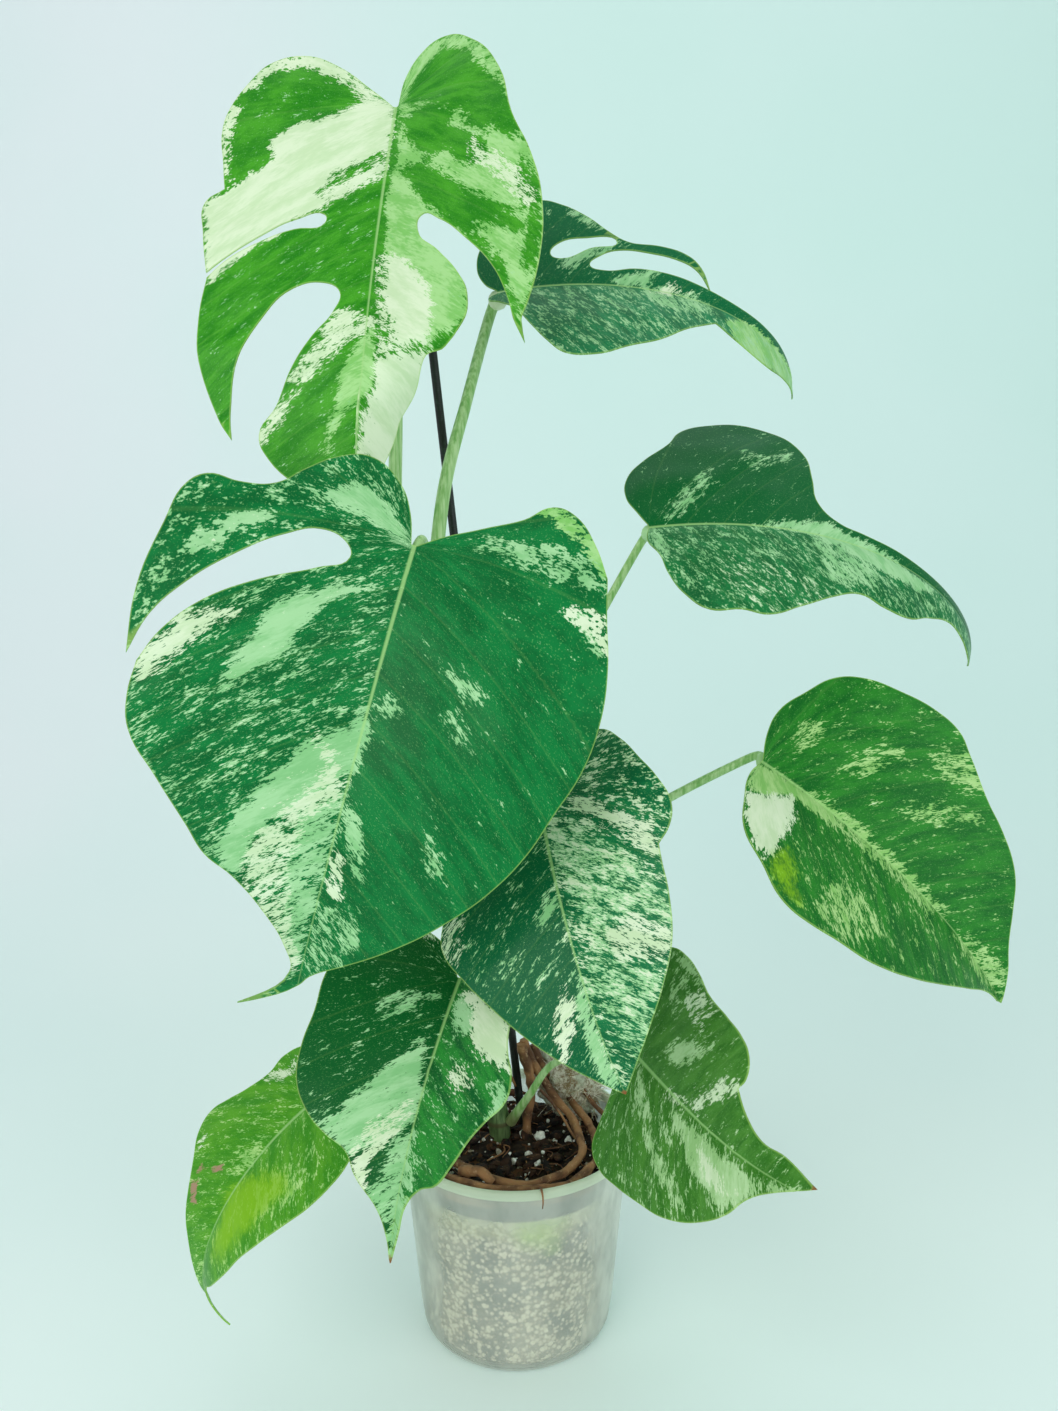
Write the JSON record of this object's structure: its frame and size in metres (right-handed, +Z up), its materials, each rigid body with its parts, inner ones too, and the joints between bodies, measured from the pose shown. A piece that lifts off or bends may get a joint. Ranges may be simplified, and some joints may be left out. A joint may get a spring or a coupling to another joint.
{
  "type": "potted monstera plant",
  "caption": "Variegated monstera in a clear conical nursery pot of potting mix, with an upright stem beside a thin round stake, arching stalks and broad hanging leaves, some split and holed.",
  "frame": {"origin": "centre of the pot's underside, on the surface the pot stands on", "axes": "+Z up along the pot's axis; -Y towards the side most leaves face; +X to the right seen from that side"},
  "size_m": [0.4505, 0.2763, 0.7271],
  "materials": {
    "frosted_plastic": "thin frosted translucent plastic",
    "mix": "dark coarse potting mix of bark and coir, matt",
    "root": "rough brown root",
    "bark": "rough bark chip",
    "perlite": "matt white expanded mineral granule",
    "fibre": "loose pale moss and old root hairs",
    "stake": "black-green coated plant stake, satin",
    "stem": "green fleshy stem",
    "stalk": "smooth green leaf stalk, satin",
    "blade": "glossy green leaf with cream and pale green variegation"
  },
  "bodies": {
    "root": {"pot": "frosted_plastic", "potting_mix": "mix", "perlite_1": "perlite", "perlite_2": "perlite", "perlite_3": "perlite", "perlite_4": "perlite", "perlite_5": "perlite", "perlite_6": "perlite", "perlite_7": "perlite", "perlite_8": "perlite", "bark_chip_1": "bark", "bark_chip_2": "bark", "bark_chip_3": "bark", "bark_chip_4": "bark", "bark_chip_5": "bark", "bark_chip_6": "bark", "stake": "stake", "main_stem": "stem", "root_front": "root", "root_right": "root", "root_back": "root", "root_inner": "root", "fibre_tuft": "fibre", "stalk_a": "stalk", "leaf_a": "blade", "stalk_b": "stalk", "leaf_b": "blade", "stalk_c": "stalk", "leaf_c": "blade", "stalk_d": "stalk", "leaf_d": "blade", "stalk_e": "stalk", "leaf_e": "blade", "stalk_f": "stalk", "leaf_f": "blade", "stalk_g": "stalk", "leaf_g": "blade", "stalk_h": "stalk", "leaf_h": "blade", "stalk_i": "stalk", "leaf_i": "blade"}
  },
  "joints": []
}
